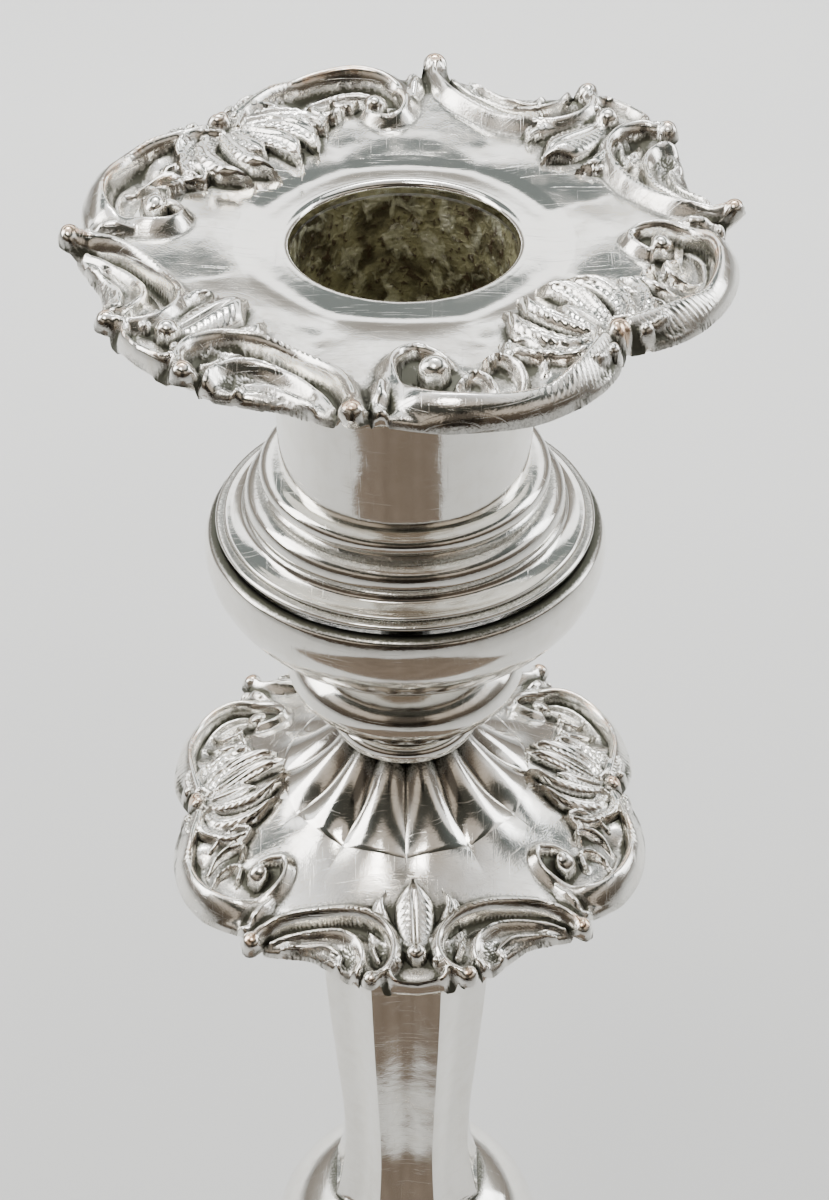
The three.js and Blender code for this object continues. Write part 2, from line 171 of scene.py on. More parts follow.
class Shader:
    """A node material, built a node at a time."""

    def __init__(self, name):
        self.material = bpy.data.materials.new(name)
        self.material.use_nodes = True
        self.tree = self.material.node_tree
        self.surface = self.tree.nodes["Principled BSDF"]
        coordinates = self.tree.nodes.new("ShaderNodeTexCoord").outputs["Object"]
        inputs = {0: coordinates, "Scale": 1 / MM}
        self.place = self.node("ShaderNodeVectorMath", inputs, operation="SCALE")

    def node(self, kind, inputs, **settings):
        """Adds a node, sets or links its inputs, and returns its first output."""
        made = self.tree.nodes.new(kind)
        for key, value in settings.items():
            setattr(made, key, value)
        for key, value in inputs.items():
            self.feed(made.inputs[key], value)
        return made.outputs[0]

    def feed(self, socket, value):
        if isinstance(value, bpy.types.NodeSocket):
            self.tree.links.new(value, socket)
        else:
            socket.default_value = value

    def noise(self, scale, detail=3.0, distortion=0.0, place=None):
        inputs = {"Vector": place or self.place, "Scale": scale, "Detail": detail, "Distortion": distortion}
        return self.node("ShaderNodeTexNoise", inputs)

    def ramp(self, value, low, high, start=0.0, end=1.0):
        """Maps value from low..high to start..end, clamped."""
        inputs = {"Value": value, "From Min": low, "From Max": high, "To Min": start, "To Max": end}
        return self.node("ShaderNodeMapRange", inputs)

    def maths(self, operation, a, b):
        return self.node("ShaderNodeMath", {0: a, 1: b}, operation=operation)

    def mix(self, share, a, b):
        inputs = {"Factor": share, "A": a, "B": b}
        made = self.tree.nodes.new("ShaderNodeMix")
        made.data_type = "RGBA"
        for socket in made.inputs:
            if socket.name in inputs and socket.enabled:
                self.feed(socket, inputs[socket.name])
        return next(s for s in made.outputs if s.enabled)

    def stretched(self, scale, turn):
        """The place turned and stretched, for fine parallel scratches."""
        inputs = {"Vector": self.place, "Rotation": turn, "Scale": scale}
        return self.node("ShaderNodeMapping", inputs)

    def mark(self, name):
        made = self.tree.nodes.new("ShaderNodeAttribute")
        made.attribute_name = name
        return made.outputs["Fac"]

    def bump(self, height, depth, onto=None):
        """A bump of height 0..1 times a depth in mm."""
        inputs = {"Height": height, "Distance": depth * MM, "Strength": 1.0}
        if onto is not None:
            inputs["Normal"] = onto
        return self.node("ShaderNodeBump", inputs)

    def set(self, **sockets):
        names = {"colour": "Base Color", "roughness": "Roughness", "metallic": "Metallic", "normal": "Normal"}
        for key, value in sockets.items():
            self.feed(self.surface.inputs[names.get(key, key)], value)


def rgb(red, green, blue):
    return (red, green, blue, 1.0)


# tarnish scales the brown film, which is partly tarnish clouding and partly vertical streaks painted in as
# dark reflections
def silver(name, bright=(0.93, 0.915, 0.87), tarnish=0.25, gloss=0.055, dent_depth=0.03, scratch=0.005):
    """Mirror-polished silver plate: clouded with tarnish and with vertical brown streaks painted in as dark
    reflections, scratched, grey-brown in recesses, coppery on worn tips.
    """
    s = Shader(name)
    cloud = s.noise(0.11, 5.0, 0.6)
    blotch = s.noise(0.55, 4.0, 0.3)
    grain = s.noise(4.5, 3.0)
    recess = s.mark("recess")
    wear = s.mark("wear")
    # hairline scratches run three ways
    hair_a = s.noise(1.0, 2.0, place=s.stretched((0.12, 9.0, 0.12), (0.2, 0.1, 0.5)))
    hair_b = s.noise(1.0, 2.0, place=s.stretched((8.0, 0.1, 0.15), (0.1, 0.4, -0.3)))
    hair_c = s.noise(1.0, 2.0, place=s.stretched((0.2, 0.15, 11.0), (0.5, -0.2, 1.1)))
    hairs = s.maths("MAXIMUM", s.maths("MAXIMUM", hair_a, hair_b), hair_c)
    hair = s.ramp(hairs, 0.66, 0.76)
    # painted reflection: long vertical brown streaks stand in for the dark reflections down upright silver;
    # the film they join also holds real tarnish clouding
    painted_reflection_streak = s.noise(1.0, 4.0, 0.4, place=s.stretched((0.5, 0.5, 0.05), (0.0, 0.0, 0.0)))
    tarnish_and_reflection_film = s.ramp(s.maths("MULTIPLY", s.maths("MAXIMUM", cloud, painted_reflection_streak), blotch), 0.2, 0.42)
    tarnish_and_reflection_film = s.maths("MULTIPLY", tarnish_and_reflection_film, tarnish)
    ragged = s.maths("ADD", recess, s.ramp(grain, 0.35, 0.75, -0.16, 0.2))
    dark = s.ramp(ragged, 0.1, 0.8)
    # the brown film colour is tarnish in the clouds and painted reflection in the vertical streaks
    colour = s.mix(tarnish_and_reflection_film, rgb(*bright), rgb(0.66, 0.60, 0.50))
    colour = s.mix(dark, colour, rgb(0.1, 0.1, 0.08))
    worn = s.ramp(s.maths("MULTIPLY", wear, blotch), 0.16, 0.4, 0.0, 0.8)
    colour = s.mix(worn, colour, rgb(0.93, 0.66, 0.46))
    rough = s.ramp(cloud, 0.3, 0.75, gloss, gloss + 0.07)
    rough = s.maths("ADD", rough, s.maths("MULTIPLY", tarnish_and_reflection_film, 0.3))
    rough = s.maths("ADD", rough, s.maths("MULTIPLY", hair, 0.08))
    rough = s.maths("ADD", rough, s.maths("MULTIPLY", dark, 0.33))
    dents = s.bump(s.noise(0.33, 2.0), dent_depth)
    fine = s.bump(s.maths("SUBTRACT", grain, s.maths("MULTIPLY", hair, 0.6)), scratch, dents)
    s.set(colour=colour, roughness=rough, metallic=1.0, normal=fine)
    return s.material


def cup_interior(name):
    """The inside of the candle cup: old wax, soot and olive-brown corrosion over silver."""
    s = Shader(name)
    patches = s.noise(0.26, 6.0, 0.5)
    runs = s.noise(1.0, 7.0, 0.5, place=s.stretched((0.5, 0.5, 0.36), (0.0, 0.0, 0.0)))
    crust = s.noise(1.2, 7.0, 0.3)
    colour = s.mix(s.ramp(patches, 0.4, 0.6), rgb(0.075, 0.064, 0.034), rgb(0.35, 0.335, 0.20))
    colour = s.mix(s.ramp(runs, 0.52, 0.62, 0.0, 0.8), colour, rgb(0.66, 0.66, 0.50))
    colour = s.mix(s.ramp(crust, 0.55, 0.64, 0.0, 0.9), colour, rgb(0.06, 0.035, 0.018))
    wax = s.ramp(s.maths("MULTIPLY", crust, runs), 0.33, 0.4, 0.0, 0.8)
    colour = s.mix(wax, colour, rgb(0.85, 0.84, 0.70))
    # the sleeve's outside only rubs in the socket, and stays dull silver
    outside = s.mark("outside")
    rubbed = s.noise(1.0, 3.0, place=s.stretched((1.2, 1.2, 0.12), (0.0, 0.0, 0.0)))
    dull = s.mix(s.ramp(rubbed, 0.35, 0.65), rgb(0.42, 0.39, 0.32), rgb(0.72, 0.70, 0.64))
    colour = s.mix(outside, colour, dull)
    rough = s.mix(outside, s.ramp(patches, 0.3, 0.7, 0.3, 0.6), s.ramp(rubbed, 0.3, 0.7, 0.38, 0.22))
    metal = s.maths("MAXIMUM", s.ramp(runs, 0.3, 0.7, 0.2, 0.6), outside)
    inside = s.maths("SUBTRACT", 1.0, outside)
    height = s.bump(s.maths("MULTIPLY", s.maths("ADD", crust, runs), inside), 0.5)
    s.set(colour=colour, roughness=rough, metallic=metal, normal=height)
    return s.material


def steel(name):
    """Turned mild steel, a little rusted."""
    s = Shader(name)
    rings = s.noise(1.0, 3.0, place=s.stretched((0.4, 0.4, 14.0), (0.0, 0.0, 0.0)))
    rust = s.ramp(s.noise(0.6, 6.0, 0.4), 0.54, 0.66)
    colour = s.mix(rust, rgb(0.42, 0.42, 0.43), rgb(0.19, 0.075, 0.03))
    rough = s.ramp(rust, 0.0, 1.0, 0.34, 0.8)
    metal = s.ramp(rust, 0.0, 1.0, 1.0, 0.2)
    s.set(colour=colour, roughness=rough, metallic=metal, normal=s.bump(rings, 0.02))
    return s.material


def plaster(name):
    """Cast plaster with pores and stains."""
    s = Shader(name)
    stain = s.noise(0.12, 5.0, 0.5)
    pores = s.node("ShaderNodeTexVoronoi", {"Vector": s.place, "Scale": 1.6})
    colour = s.mix(s.ramp(stain, 0.35, 0.7), rgb(0.66, 0.62, 0.53), rgb(0.47, 0.42, 0.34))
    height = s.maths("ADD", s.ramp(pores, 0.0, 0.25), s.noise(0.8, 5.0))
    s.set(colour=colour, roughness=s.ramp(stain, 0.2, 0.8, 0.8, 0.95), normal=s.bump(height, 0.12))
    return s.material


def baize(name):
    """Dark green napped wool cloth."""
    s = Shader(name)
    nap = s.noise(5.5, 4.0, 0.6)
    weave = s.noise(1.0, 2.0, place=s.stretched((2.6, 7.0, 2.6), (0.0, 0.0, 0.6)))
    worn = s.noise(0.09, 4.0, 0.4)
    colour = s.mix(s.ramp(nap, 0.3, 0.75), rgb(0.012, 0.062, 0.03), rgb(0.035, 0.15, 0.075))
    colour = s.mix(s.ramp(worn, 0.45, 0.75, 0.0, 0.5), colour, rgb(0.13, 0.19, 0.11))
    s.set(colour=colour, roughness=s.ramp(nap, 0.2, 0.8, 0.85, 1.0))
    s.surface.inputs["Sheen Weight"].default_value = 0.5
    s.set(normal=s.bump(s.maths("ADD", nap, weave), 0.16))
    return s.material


SILVER = silver("silver_polished")
SILVER_RELIEF = silver("silver_relief", tarnish=0.35, gloss=0.08, dent_depth=0.05, scratch=0.012)
SILVER_PAN = silver("silver_pan", tarnish=0.1, gloss=0.045, dent_depth=0.035, scratch=0.004)
SILVER_UNDER = silver("silver_underside", bright=(0.78, 0.75, 0.68), tarnish=0.7, gloss=0.2, scratch=0.02)
CUP = cup_interior("candle_cup_interior")
STEEL = steel("turned_steel")
PLASTER = plaster("cast_plaster")
BAIZE = baize("green_baize")


# ---- The scroll-and-leaf border ----

# The pattern is drawn once, on a quarter of a ring whose furthest ball is 34.8 mm out, as places
# of (degrees, mm). It is mirrored at 0 degrees, in the middle of a leafy corner, and at 90, in the
# middle of a small one.
DRAWN_TIP = 34.8
DRAWN_INNER = 16.2  # the border's inner edge

EDGE_LINE = [
    (0, 29.7), (5, 31.2), (10, 32.4), (16, 33.3), (26, 34.2), (35, 34.1), (41, 33.3), (45, 32.7), (48, 32.9),
    (53, 33.2), (58, 32.4), (64, 31.6), (70, 32.3), (75, 33.4), (80, 34.0), (85, 34.2), (90, 34.4),
]  # fmt: skip

# Ridges: a line, then the half width to its right, the flank's width to its left and the height, each
# at its start, middle and end.
RIDGES = {
    "lobe_scroll": (
        [(34.2, 24.3), (36.4, 22.9), (40.5, 22.1), (44.4, 23.2), (45.4, 25.7), (43.3, 28.6), (39, 30.9),
         (33, 32.0), (26, 32.2), (19, 31.6), (12, 30.2), (4, 28.4)],
        (0.7, 1.0, 0.8), (0.9, 2.4, 1.8), (1.3, 2.05, 1.5)),
    "lobe_inner_line": (
        [(41.6, 26.5), (40.5, 28.5), (36, 30.1), (30, 30.8), (24, 30.6)],
        (0.4, 0.6, 0.3), (0.5, 0.6, 0.3), (0.3, 0.55, 0.2)),
    "inner_scroll": (
        [(22.2, 24.0), (19.8, 22.9), (16.6, 23.9), (16.0, 26.2), (17.8, 28.2)],
        (0.55, 0.6, 0.3), (0.7, 1.0, 0.5), (1.3, 1.35, 0.4)),
    "lobe_curl": (
        [(33.0, 27.6), (30.6, 26.4), (28.2, 27.2), (27.6, 29.0), (29.6, 30.6)],
        (0.55, 0.6, 0.35), (0.5, 0.75, 0.4), (1.2, 1.3, 0.4)),
    "lobe_curl_low": (
        [(27.0, 25.3), (24.2, 24.7), (22.0, 26.0), (21.9, 28.0), (24.4, 29.9)],
        (0.6, 0.7, 0.35), (0.5, 0.85, 0.4), (1.6, 1.5, 0.4)),
    "lobe_petal": (
        [(2.5, 26.8), (7, 28.4), (11.5, 28.6), (14.5, 27.2), (14.2, 25.8)],
        (0.6, 0.8, 0.5), (0.8, 0.9, 0.6), (1.3, 1.6, 0.8)),
    "bud": (
        [(46, 25.0), (46.8, 27.5), (47.0, 30.5), (46.4, 32.6)],
        (0.4, 1.2, 0.8), (0.4, 1.2, 0.8), (0.5, 1.5, 0.8)),
    "wing_scroll": (
        [(50.4, 33.7), (51.0, 31.2), (54.6, 27.9), (62, 25.7), (70, 24.7), (77.5, 24.9), (83, 26.7),
         (85.0, 29.6), (83.6, 32.2), (80.4, 33.7)],
        (1.3, 0.95, 1.1), (1.2, 1.5, 1.2), (1.6, 2.0, 1.4)),
    "wing_line": (
        [(76.2, 33.7), (77.2, 31), (74.6, 28.5), (69, 27.5), (63, 28.2), (57.6, 29.9), (54.0, 32.0)],
        (0.5, 0.55, 0.4), (1.0, 1.3, 0.6), (0.9, 1.35, 0.8)),
    "wing_fine_line": (
        [(71.6, 32.3), (71.2, 30.6), (67, 29.9), (61.5, 30.8), (57.4, 32.2)],
        (0.35, 0.4, 0.3), (0.6, 0.8, 0.5), (0.5, 0.75, 0.5)),
    "small_scroll": (
        [(84.6, 31.0), (83.9, 32.4), (85.4, 33.6), (90, 33.9)],
        (0.6, 0.7, 0.7), (0.7, 0.8, 0.7), (1.2, 1.5, 1.4)),
    "small_loop": (
        [(80.8, 30.4), (79.2, 28.6), (81.4, 27.3)],
        (0.4, 0.5, 0.4), (0.5, 0.6, 0.4), (0.7, 1.0, 0.6)),
}  # fmt: skip

# Leaf lobes: a line from root to pointed tip, the half width at its fullest, and the height.
LEAVES = {
    "corner_heart": ([(0, 27.8), (0, 24.0), (0, 20.2)], 1.7, 1.15),
    "corner_leaf_inner": ([(1.2, 27.4), (4.2, 24.2), (7.0, 20.4), (4.6, 16.5)], 1.35, 2.1),
    "corner_leaf_outer": ([(2.6, 27.6), (10.0, 25.9), (14.6, 22.0), (13.2, 17.6)], 1.4, 2.0),
    "corner_leaf_side": ([(3.6, 28.0), (11.6, 27.4), (18.6, 25.2), (21.4, 21.8)], 1.05, 1.6),
    "corner_leaf_back": ([(3, 28.4), (8.6, 30.2), (13.2, 29.8)], 1.0, 1.5),
    "small_leaf_heart": ([(90, 29.4), (90, 25.0), (90, 19.6)], 2.5, 1.7),
    "small_leaf_side": ([(88, 29.0), (82.4, 26.8), (79.0, 23.8), (80.8, 21.2)], 1.3, 1.4),
    "small_leaf_low": ([(87, 29.4), (81.0, 28.4), (76.0, 26.0)], 0.9, 1.1),
}  # fmt: skip

# Balls: place, radius and how high the top stands.
BALLS = [
    ((37.2, 25.6), 1.4, 2.4),
    ((50.5, 33.6), 1.35, 1.75),
    ((80.0, 33.7), 1.25, 1.6),
    ((90, 30.1), 1.3, 2.1),
    ((0, 28.6), 1.3, 2.1),
    ((4.6, 30.2), 0.8, 1.4),
    ((21.9, 24.5), 0.75, 1.4),
    ((85.6, 31.2), 0.6, 1.2),
]

# Hollows: a line, the half width and the depth.
HOLLOWS = [
    ([(40.5, 28.0), (36, 29.2), (29, 30.0), (22, 29.9)], 3.0, 1.5),
    ([(38, 25.4), (30, 27), (24, 26.4)], 2.8, 0.5),
    ([(80.5, 30.6), (79, 27.4), (72, 26.2), (63, 27), (56.5, 29.4), (53, 31.6)], 1.8, 1.0),
    ([(73, 31.3), (68, 29.2), (60.5, 30.4)], 1.5, 0.7),
    ([(46, 31.5), (45.6, 33.5)], 1.2, 1.0),
]


def on_plane(places):
    """Places of (degrees, mm) as points on a plane."""
    places = np.array(places, float)
    angles = np.radians(places[:, 0])
    return np.column_stack([places[:, 1] * np.cos(angles), places[:, 1] * np.sin(angles)])


def along_line(x, y, line):
    """Distance of each point from a line, where along it that is, from 0 to 1, and on which side."""
    lengths = np.hypot(*np.diff(line, axis=0).T)
    starts = np.concatenate([[0], np.cumsum(lengths)])
    best = np.full(x.shape, 1e9)
    share = np.zeros(x.shape)
    side = np.zeros(x.shape)
    for (ax, ay), (bx, by), start, length in zip(line, line[1:], starts, lengths):
        t = np.clip(((x - ax) * (bx - ax) + (y - ay) * (by - ay)) / length**2, 0, 1)
        dx, dy = x - ax - t * (bx - ax), y - ay - t * (by - ay)
        distance = np.hypot(dx, dy)
        nearer = distance < best
        best = np.where(nearer, distance, best)
        share = np.where(nearer, (start + t * length) / starts[-1], share)
        side = np.where(nearer, ((bx - ax) * dy - (by - ay) * dx) / length, side)
    return best, share, side


def three_way(values, share):
    """A value that runs from start to middle to end along a line."""
    return np.interp(share, [0, 0.5, 1], values)


def near(x, y, line, reach):
    """Which points lie near a line's box."""
    low, high = line.min(0) - reach, line.max(0) + reach
    return (x > low[0]) & (x < high[0]) & (y > low[1]) & (y < high[1])


def ridge_height(x, y, line, widths, flanks, heights):
    """A ridge: round and steep to its right, with a broad sloping flank to its left."""
    height = np.zeros(x.shape)
    here = near(x, y, line, max(*widths, *flanks) + 0.1)
    distance, share, side = along_line(x[here], y[here], line)
    steep = np.clip(1 - (distance / three_way(widths, share)) ** 2, 0, 1) ** 0.62
    sloping = np.clip(1 - (distance / three_way(flanks, share)) ** 1.2, 0, 1) ** 1.15
    height[here] = three_way(heights, share) * np.where(side > 0, sloping, steep)
    return height


def leaf_height(x, y, line, width, peak):
    """A leaf lobe: fullest before its pointed tip, which curls up; a vein down it, and hatched sides."""
    height = np.zeros(x.shape)
    here = near(x, y, line, width + 0.1)
    distance, share, side = along_line(x[here], y[here], line)
    swelling = np.sin(math.pi * np.clip(0.05 + 0.9 * share, 0, 1))
    reach = width * (0.45 + 0.55 * swelling) * step(1.04, 0.66, share)
    across = np.clip(distance / np.maximum(reach, 0.02), 0, 1.2)
    body = np.clip(1 - across**2.4, 0, 1) ** 0.55
    curl = (0.5 + 0.5 * step(0, 0.75, share)) * (1 - 0.5 * step(0.78, 1.0, share))
    vein = 0.45 * np.exp(-((side / 0.2) ** 2)) * step(0.95, 0.4, share)
    hatch = 0.075 * np.sin(2 * math.pi * (share * 12 + np.abs(side) * 0.9)) * step(0.25, 0.45, across)
    scoop = 0.5 * np.exp(-(((across - 0.5) / 0.28) ** 2)) * (side > 0)
    height[here] = np.where(body > 0, body * (peak * curl - vein - scoop + hatch), 0)
    return height


def pattern_height(x, y):
    """How high the drawn pattern stands at points of the quarter plane."""
    height = np.zeros(x.shape)
    for line, width, depth in HOLLOWS:
        distance, _, _ = along_line(x, y, smooth_line(on_plane(line)))
        height -= depth * np.exp(-((distance / width) ** 2) * 2.2)
    raised = np.zeros(x.shape)
    # each shape is also met from beyond the quarter's two edges
    for mx, my in ((x, y), (x, -y), (-x, y)):
        for line, widths, flanks, heights in RIDGES.values():
            ridge = ridge_height(mx, my, smooth_line(on_plane(line)), widths, flanks, heights)
            raised = np.maximum(raised, ridge)
        for line, width, peak in LEAVES.values():
            raised = np.maximum(raised, leaf_height(mx, my, smooth_line(on_plane(line)), width, peak))
        for place, size, peak in BALLS:
            cx, cy = on_plane([place])[0]
            inside = np.clip(1 - ((mx - cx) ** 2 + (my - cy) ** 2) / size**2, 0, 1)
            raised = np.maximum(raised, np.where(inside > 0, peak - size + size * np.sqrt(inside), 0))
    return height, raised


def stipple(x, y):
    """Where the ground is stippled, and the stippling."""
    grain = np.sin(11 * x + 2 * np.sin(3 * y)) * np.sin(11 * y + 2 * np.sin(3 * x))
    spots = [((73, 30.6), 1.8), ((66, 31.0), 1.6), ((60, 32), 1.3), ((10, 31.0), 1.6), ((17, 32.6), 1.4)]
    where = np.zeros(x.shape)
    for place, size in spots:
        cx, cy = on_plane([place])[0]
        where = np.maximum(where, step(size + 0.5, size - 0.5, np.hypot(x - cx, y - cy)))
    return 0.11 * where * grain, where


def edge_balls(x, y):
    """1 on the balls that stand at the edge, and 0 off them."""
    on_ball = np.zeros(x.shape)
    for place, size, _ in BALLS[1:3]:
        cx, cy = on_plane([place])[0]
        on_ball = np.maximum(on_ball, step(size + 0.5, size, np.hypot(x - cx, y - cy)))
    return on_ball


def combing(folded, from_edge):
    """Fine slanting grooves on the outer flank of each lobe, by its leafy corner."""
    where = step(2.5, 6, folded) * step(25, 19, folded)
    where = where * step(0.3, 0.7, from_edge) * step(2.7, 2.1, from_edge)
    return 0.055 * where * np.sin(2 * math.pi * (folded / 1.15 + 0.5 * from_edge))


def edge_radius(folded):
    """The border's outline at folded angles in degrees, with its balls standing out of it."""
    line = smooth_line(EDGE_LINE, 8)
    radius = np.interp(folded, line[:, 0], line[:, 1])
    for (degrees, out), size, _ in BALLS[1:3]:
        off = np.radians(folded - degrees)
        inside = size**2 - (out * np.sin(off)) ** 2
        on_ball = out * np.cos(off) + np.sqrt(np.clip(inside, 0, None))
        radius = np.where(inside > 0, np.maximum(radius, on_ball), radius)
    return radius


def blurred(height, around, along):
    """The height averaged over a window of the grid."""
    wrapped = np.concatenate([height[-around:], height, height[:around]])
    sums = np.cumsum(wrapped, axis=0)
    before = np.vstack([np.zeros((1, height.shape[1])), sums])[: len(height)]
    flat = (sums[2 * around :] - before) / (2 * around + 1)
    padded = np.pad(flat, ((0, 0), (along, along)), mode="edge")
    sums = np.cumsum(padded, axis=1)
    sums = np.hstack([np.zeros((len(height), 1)), sums])
    return (sums[:, 2 * along + 1 :] - sums[:, : -2 * along - 1]) / (2 * along + 1)


def worn_marks(relief, hollow, raised, combed, from_edge, grain, stippled):
    """Where the tarnish stays, in the low places, and where the plate is worn through, on the high ones."""
    low = blurred(relief, 9, 4)
    wide = blurred(relief, 30, 10)
    recess = np.clip((low - relief) / 0.55, 0, 1)
    recess = np.maximum(recess, 0.42 * np.clip((wide - relief - 0.15) / 1.0, 0, 1))
    recess = np.maximum(recess, 0.26 * np.clip(-hollow, 0, 1) * (raised < 0.3))
    recess += 0.45 * stippled * (raised < 0.2) * (grain < 0.02) + 6 * np.clip(-combed, 0, 1)
    wear = np.clip((relief - low) / 0.5, 0, 1) * step(1.2, 1.7, raised) * step(6, 0, from_edge)
    return {"recess": recess, "wear": wear}


# The border's underside: how far in from its rim, and how far below the ground.
UNDERSIDE = [(0.35, 0.8), (1.2, 1.4), (3.5, 2.0), (8.0, 1.6)]
INNER_WALL = 0.35


def underside(ground, angle, rim, scale, drop, on_ball):
    """Rings of points below the border, from its rim back to its inner edge, a wall's thickness down."""
    rings = []
    for inset, down in UNDERSIDE:
        tuck = 0.75 * on_ball * step(3, 0.5, inset)
        rings.append((rim - (inset + tuck) * scale, down))
    rings.append((np.full_like(rim, DRAWN_INNER * scale), INNER_WALL))
    points = []
    for r, down in rings:
        fall = drop * 0.5 * step(4 * scale, 0, rim - r) * (1 - 0.7 * on_ball)
        z = ground(angle, r) - down * scale - fall
        points.append(np.stack([r * np.cos(angle), r * np.sin(angle), z], axis=-1))
    return points


def border(name, node, tip, turn, ground, lift, drop, body, oval=0.0, around=1040, along=80):
    """A border ring over ground(angle, radius). lift scales its relief, and drop is its edge's fall.

    oval is how much narrower than its length it is, bent by use.
    """
    scale = tip / DRAWN_TIP
    angle = np.linspace(0, 2 * math.pi, around, endpoint=False)[:, None]
    local = np.degrees(angle) - turn + 0.8 * np.sin(3 * angle + 1) + 0.5 * np.sin(7 * angle)
    folded = np.abs((local + 90) % 180 - 90)
    edge = edge_radius(folded)
    bent = 1 - oval * np.cos(angle) ** 2
    share = np.linspace(0, 1, along)[None, :]
    share = share + 0.1 * np.sin(math.pi * share) * share  # closer together towards the edge
    drawn = DRAWN_INNER + (edge - DRAWN_INNER) * np.clip(share / share.max(), 0, 1)
    from_edge = edge - drawn
    combed = combing(folded, from_edge)
    folded = np.radians(folded)
    wobble_x = ripple(drawn * np.cos(angle), drawn * np.sin(angle), 0, 14, 3)
    wobble_y = ripple(drawn * np.cos(angle), drawn * np.sin(angle), 0, 14, 4)
    x = drawn * np.cos(folded) + 0.12 * wobble_x
    y = np.abs(drawn * np.sin(folded) + 0.12 * wobble_y)
    hollow, raised = pattern_height(x, y)
    grain, stippled = stipple(x, y)
    relief = hollow * step(0.2, 1.5, from_edge) + raised + grain * (raised < 0.15) + combed
    marks = worn_marks(relief, hollow, raised, combed, from_edge, grain, stippled)
    radius = drawn * scale * (1 + (bent - 1) * step(DRAWN_INNER, edge, drawn))
    bulge = np.sqrt(np.clip(1 - (1 - np.clip(from_edge / 2.2, 0, 1)) ** 2, 0, 1))
    on_ball = edge_balls(x, y)
    level = ground(angle, radius) - 0.004 + 0.014 * step(0, 3, drawn - DRAWN_INNER)
    level = level - drop * (1 - bulge) * (1 - 0.85 * on_ball)
    height = level + lift * relief * (1 - 0.25 * step(0.5, 0.0, from_edge))
    upper = np.stack([radius * np.cos(angle), radius * np.sin(angle), height], axis=-1)
    unders = underside(ground, angle, radius[:, -1:], scale, drop, on_ball[:, -1:])
    marks = {key: np.hstack([values, np.zeros((around, len(unders)))]) for key, values in marks.items()}
    points = np.concatenate([upper, *unders], axis=1)
    mesh_piece(name, points, body, [node], SILVER_RELIEF, marks=marks, sharp=55)


# ---- The nozzle ----

# Where the middle of a leafy corner points, and how far out each border's furthest ball is.
NOZZLE_TURN = -46
SHOULDER_TURN = 3.5
BASE_TURN = -46
SHOULDER_TIP = 29.6
BASE_TIP = 60.5


def pan_ground(angle, radius):
    """The pan's dish: it dips past the lip, rises to the rim, and has eight petals with soft creases."""
    share = np.clip((radius - ROLLED_LIP) / (PAN_RADIUS - ROLLED_LIP), 0, 1.5)
    dish = LIP - PAN_DIP * np.exp(-(((share - 0.17) / 0.13) ** 2)) + 0.75 * share**1.6
    petal = np.clip((radius - ROLLED_LIP - 0.4) / 9, 0, 1)
    petal = petal**1.7 * (1 - 0.45 * step(0.7, 1, petal))
    crown = (np.cos(4 * (angle - math.radians(NOZZLE_TURN))) ** 2 + 0.025) ** 0.42
    return dish + 0.55 * petal * (2.3 * crown - 1.45)


def nozzle_pan():
    out = np.concatenate([
        np.linspace(PAN_RADIUS - 0.3, DRAWN_INNER + 0.5, 14),
        np.linspace(DRAWN_INNER, ROLLED_LIP, 26),
    ])  # fmt: skip
    upper = np.column_stack([out, np.zeros_like(out)])
    roll = arc((BORE + 0.8, LIP - 0.8), (0.8, 0.8), 90, 180, 12)
    hole = [(BORE, LIP - LIP_ROLL - 0.1), (BORE + 1.3, LIP - LIP_ROLL - 0.15)]
    under = np.column_stack([np.linspace(BORE + 3, PAN_RADIUS - 0.3, 16), np.ones(16)])
    line = np.vstack([upper, roll, hole, under])
    on_top = slice(0, len(upper))
    below = slice(len(line) - len(under), len(line))

    def shape(angle, radius, height):
        height = height + 0 * angle
        ground = pan_ground(angle, radius + 0 * angle)
        sunk = 0.95 * step(DRAWN_INNER + 1.2, DRAWN_INNER + 2.6, radius)  # under the border
        height[:, on_top] = (ground - sunk)[:, on_top]
        height[:, below] = (ground - PAN_THICKNESS)[:, below]
        return radius, height

    turned("pan_surface", line, "nozzle", ["nozzle_pan"], SILVER_PAN, 320, shape)


def nozzle_cup():
    bore_top = top("nozzle_sleeve")
    foot = bottom("nozzle_sleeve")
    outer = half_width("nozzle_sleeve")
    inside = np.column_stack([np.full(50, BORE), np.linspace(bore_top, foot + 0.9, 50)])
    wall = np.column_stack([np.full(6, outer), np.linspace(foot + 1, bore_top, 6)])
    line = np.vstack([inside, [(BORE, foot), (outer, foot)], wall])

    def shape(angle, radius, height):
        lumps = ripple(radius * np.cos(angle), radius * np.sin(angle), height, 3.5, 11)
        wax = ripple(radius * np.cos(angle), radius * np.sin(angle), 0.3 * height, 6, 12)
        inward = (radius < BORE + 0.1) * (0.1 * np.clip(lumps, 0, 1) + 0.12 * np.clip(wax, 0, 1))
        return radius - inward, height + 0 * angle

    def outside(radius, height):
        return (radius > BORE + 0.2).astype(float)

    turned("sleeve_tube", line, "nozzle", ["nozzle_sleeve"], CUP, 192, shape,
           outside=outside)  # fmt: skip
    level = top("nozzle_floor")
    out = np.linspace(0.02, BORE - 0.2, 24)
    floor = np.vstack([
        np.column_stack([out, np.full(24, level)]),
        [(BORE - 0.2, bottom("nozzle_floor")), (0.02, bottom("nozzle_floor"))],
    ])  # fmt: skip

    def crusted(angle, radius, height):
        lumps = ripple(radius * np.cos(angle), radius * np.sin(angle), 0, 4, 13)
        sunk = (height > level - 0.1) * 0.12 * np.clip(lumps, -1, 0)
        return radius + 0 * angle, height + sunk + 0 * angle

    turned("cup_floor", floor, "nozzle", ["nozzle_floor"], CUP, 96, crusted)


# ---- The socket, bulb and upper knop ----


